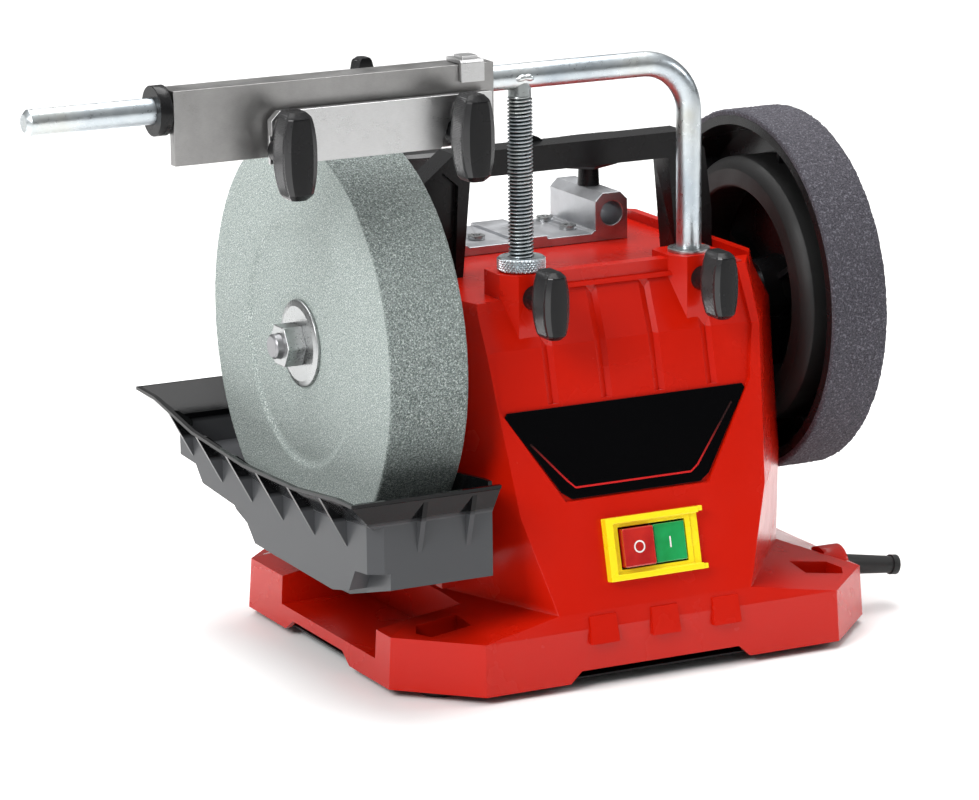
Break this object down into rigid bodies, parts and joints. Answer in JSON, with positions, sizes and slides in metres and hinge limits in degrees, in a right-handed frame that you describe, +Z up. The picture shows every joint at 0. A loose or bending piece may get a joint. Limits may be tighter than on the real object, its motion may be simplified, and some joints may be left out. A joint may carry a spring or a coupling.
{
  "type": "wet stone grinder",
  "caption": "Slow-speed wet stone sharpener with a honing wheel, height-adjustable tool support, clamping jig, water trough that lowers on its guides, and carrying handle.",
  "frame": {"origin": "centre of the four bench bolts, at the level the rubber feet stand on", "axes": "+X along the main shaft towards the honing wheel, -Y towards the switch side, +Z up"},
  "size_m": [0.4594, 0.2504, 0.2987],
  "materials": {
    "red_housing": "glossy moulded plastic",
    "black_plastic": "moulded, fine grain",
    "label_gloss": "glossy printed panel",
    "switch_yellow": "glossy",
    "switch_black": "moulded",
    "stop_red": "translucent look",
    "start_green": "satin",
    "rubber": "moulded",
    "bracket_aluminium": "blasted",
    "plate_aluminium": "brushed",
    "bright_steel": "polished",
    "dark_steel": "machined",
    "bronze": "sintered",
    "stone": "grey-green abrasive",
    "inner_flange": "satin",
    "leather": "rough, worn",
    "lamination": "stacked sheets",
    "copper": "enamelled wire",
    "bell_aluminium": "cast",
    "capacitor_case": "moulded",
    "trough_plastic": "glossy inside, grained outside"
  },
  "bodies": {
    "base": {"housing_shell": "red_housing", "bottom_cover": "black_plastic", "cover_screws": "dark_steel", "rubber_feet": "rubber", "label_panel": "label_gloss", "switch_frame": "switch_yellow", "switch_body": "switch_black", "carry_handle": "black_plastic", "handle_screws": "bright_steel", "support_bracket": "bracket_aluminium", "bracket_screws": "bright_steel", "leg_bush_left": "black_plastic", "leg_bush_right": "bright_steel", "shaft_bush_left": "bronze", "shaft_bush_right": "bronze", "motor_plate": "black_plastic", "motor_plate_screws": "dark_steel", "motor_stator": "lamination", "motor_windings": "copper", "motor_bell_left": "bell_aluminium", "motor_bell_right": "bell_aluminium", "capacitor": "capacitor_case", "capacitor_clip": "black_plastic", "cable_gland": "black_plastic", "cable_boot": "rubber"},
    "wheels": {"main_shaft": "dark_steel", "grinding_stone": "stone", "inner_flange": "inner_flange", "stone_washer": "bright_steel", "stone_nut": "bright_steel", "honing_drum": "black_plastic", "honing_belt": "leather", "drive_ring": "rubber", "ring_screws": "bright_steel", "drum_washer": "bright_steel", "drum_nut": "bright_steel"},
    "rotor": {"rotor_core": "lamination", "rotor_shaft": "dark_steel", "cooling_fan": "black_plastic", "drive_roller": "rubber"},
    "support": {"support_bar": "bright_steel", "threaded_leg": "bright_steel"},
    "height_nut": {"adjusting_nut": "bright_steel"},
    "lock_knob_left": {"lock_knob_left": "black_plastic"},
    "lock_knob_right": {"lock_knob_right": "black_plastic"},
    "bracket_knob_left": {"bracket_knob_left": "black_plastic"},
    "bracket_knob_right": {"bracket_knob_right": "black_plastic"},
    "jig_carrier": {"jig_bushes": "black_plastic"},
    "jig": {"jig_body": "bracket_aluminium", "jig_studs": "dark_steel"},
    "jig_clamp": {"jig_clamp_plate": "plate_aluminium"},
    "jig_knob_left": {"jig_knob_left": "black_plastic"},
    "jig_knob_right": {"jig_knob_right": "black_plastic"},
    "jig_stop": {"jig_stop": "plate_aluminium"},
    "jig_lock": {"jig_lock_knob": "black_plastic"},
    "trough": {"water_trough": "trough_plastic"},
    "stop_button": {"stop_button": "stop_red"},
    "start_button": {"start_button": "start_green"}
  },
  "joints": [
    {"name": "shaft_spin", "type": "hinge", "parent": "base", "child": "wheels", "pos_m": [0, 0, 0.155], "axis": [1, 0, 0], "continuous": true},
    {"name": "motor_spin", "type": "hinge", "parent": "base", "child": "rotor", "pos_m": [0, 0, 0.10875], "axis": [1, 0, 0], "continuous": true},
    {"name": "nut_turn", "type": "hinge", "parent": "base", "child": "height_nut", "pos_m": [-0.05, -0.065, 0.197], "axis": [0, 0, 1], "range_deg": [-4114.29, 8228.57]},
    {"name": "support_height", "type": "slide", "parent": "base", "child": "support", "axis": [0, 0, 1], "range_m": [-0.02, 0.04]},
    {"name": "lock_knob_left_turn", "type": "hinge", "parent": "base", "child": "lock_knob_left", "pos_m": [-0.05, -0.0765, 0.1825], "axis": [0, -1, 0], "range_deg": [-540, 0]},
    {"name": "lock_knob_right_turn", "type": "hinge", "parent": "base", "child": "lock_knob_right", "pos_m": [0.04, -0.0765, 0.1825], "axis": [0, -1, 0], "range_deg": [-540, 0]},
    {"name": "bracket_knob_left_turn", "type": "hinge", "parent": "base", "child": "bracket_knob_left", "pos_m": [-0.0422, 0.0505, 0.2055], "axis": [0, 0, 1], "range_deg": [0, 540]},
    {"name": "bracket_knob_right_turn", "type": "hinge", "parent": "base", "child": "bracket_knob_right", "pos_m": [0.0478, 0.0505, 0.2055], "axis": [0, 0, 1], "range_deg": [0, 540]},
    {"name": "jig_slide", "type": "slide", "parent": "support", "child": "jig_carrier", "axis": [1, 0, 0], "range_m": [-0.05, 0.008]},
    {"name": "jig_tilt", "type": "hinge", "parent": "jig_carrier", "child": "jig", "pos_m": [-0.148, -0.065, 0.2855], "axis": [1, 0, 0], "range_deg": [-60, 40]},
    {"name": "jig_knob_left_turn", "type": "hinge", "parent": "jig_clamp", "child": "jig_knob_left", "pos_m": [-0.1785, -0.08, 0.265], "axis": [0, -1, 0], "range_deg": [-1152, 1440]},
    {"name": "jig_knob_right_turn", "type": "hinge", "parent": "jig_clamp", "child": "jig_knob_right", "pos_m": [-0.0895, -0.08, 0.265], "axis": [0, -1, 0], "range_deg": [-1152, 1440]},
    {"name": "clamp_travel", "type": "slide", "parent": "jig", "child": "jig_clamp", "axis": [0, -1, 0], "range_m": [-0.0032, 0.004]},
    {"name": "jig_stop_slide", "type": "slide", "parent": "jig", "child": "jig_stop", "axis": [1, 0, 0], "range_m": [-0.03, 0.004]},
    {"name": "jig_lock_turn", "type": "hinge", "parent": "jig", "child": "jig_lock", "pos_m": [-0.121, -0.065, 0.2855], "axis": [0, 1, 0], "range_deg": [0, 360]},
    {"name": "trough_height", "type": "slide", "parent": "base", "child": "trough", "axis": [0, 0, 1], "range_m": [-0.012, 0]},
    {"name": "stop_push", "type": "slide", "parent": "base", "child": "stop_button", "axis": [0, 0.9724, -0.2334], "range_m": [0, 0.003], "stiffness_N_per_m": 400},
    {"name": "start_push", "type": "slide", "parent": "base", "child": "start_button", "axis": [0, 0.9724, -0.2334], "range_m": [0, 0.003], "stiffness_N_per_m": 400}
  ],
  "couplings": [
    {"joint": "motor_spin", "follows": "shaft_spin", "ratio": 10.3},
    {"joint": "nut_turn", "follows": "support_height", "rad_per_m": 3590.4},
    {"joint": "jig_knob_left_turn", "follows": "clamp_travel", "rad_per_m": 6283.2},
    {"joint": "jig_knob_right_turn", "follows": "clamp_travel", "rad_per_m": 6283.2}
  ]
}
